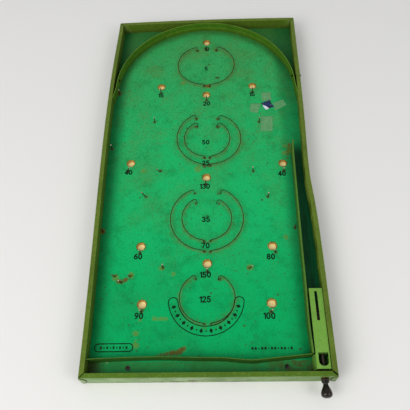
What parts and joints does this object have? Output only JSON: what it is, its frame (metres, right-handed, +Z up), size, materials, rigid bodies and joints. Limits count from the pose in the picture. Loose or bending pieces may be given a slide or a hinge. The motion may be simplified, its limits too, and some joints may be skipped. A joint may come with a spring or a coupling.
{
  "type": "bagatelle board",
  "caption": "Shallow tin tray with a raised playfield, brass score cups, nails and wire hoops under an arch, a ball lane with a spring plunger, and a folding rear stand.",
  "frame": {"origin": "middle of the front rail's underside, on the table", "axes": "+X to the right across the board as its player sees it, +Y up the board from the front rail, +Z up from the table"},
  "size_m": [0.3114, 0.6348, 0.027],
  "materials": {
    "rim_paint": "worn satin olive paint",
    "front_paint": "rubbed pale green paint",
    "field_paint": "satin emerald paint with rust specks",
    "cover_paint": "satin light green paint",
    "rusty_steel": "rusted",
    "dark_steel": "dark, oily",
    "spring_steel": "dull",
    "bare_tin": "bare tin plate",
    "dark_bronze": "dark bronzed, glossy",
    "cup_brass": "tarnished",
    "clear_tape": "hazy clear tape",
    "packet_cloth": "folded film",
    "print_ink": "dark green printed marks"
  },
  "bodies": {
    "board": {"front_rail": "front_paint", "rear_rail": "rim_paint", "left_rail": "rim_paint", "right_rail": "rim_paint", "playfield": "field_paint", "arch_band": "rim_paint", "arch_rivets": "rusty_steel", "lane_divider": "rim_paint", "bottom_strip": "rim_paint", "plunger_cover": "cover_paint", "front_bush": "rusty_steel", "cup_nails": "rusty_steel", "field_nails": "rusty_steel", "stand_clips": "bare_tin", "tape_strips": "clear_tape", "taped_packet": "packet_cloth", "cup_10": "cup_brass", "cup_15_left": "cup_brass", "cup_15_right": "cup_brass", "cup_20": "cup_brass", "cup_40_left": "cup_brass", "cup_40_right": "cup_brass", "cup_130": "cup_brass", "cup_60": "cup_brass", "cup_80": "cup_brass", "cup_150": "cup_brass", "cup_90": "cup_brass", "cup_100": "cup_brass", "hoop_5_left": "rusty_steel", "hoop_5_right": "rusty_steel", "hoop_50_left": "rusty_steel", "hoop_50_right": "rusty_steel", "hoop_25_left": "rusty_steel", "hoop_25_right": "rusty_steel", "hoop_35_left": "rusty_steel", "hoop_35_right": "rusty_steel", "hoop_70_left": "rusty_steel", "hoop_70_right": "rusty_steel", "hoop_125_left": "rusty_steel", "hoop_125_right": "rusty_steel"},
    "plunger": {"plunger_rod": "dark_steel", "striker_head": "dark_steel", "plunger_spring": "spring_steel", "knob": "dark_bronze"},
    "stand": {"rear_stand": "spring_steel"}
  },
  "joints": [
    {"name": "plunger_pull", "type": "slide", "parent": "board", "child": "plunger", "axis": [0, -1, 0], "range_m": [0, 0.03], "stiffness_N_per_m": 150, "springref_m": -0.01, "deforming": ["plunger_spring"]},
    {"name": "stand_fold", "type": "hinge", "parent": "board", "child": "stand", "pos_m": [0, 0.557, 0.005], "axis": [1, 0, 0], "range_deg": [0, 100]}
  ]
}
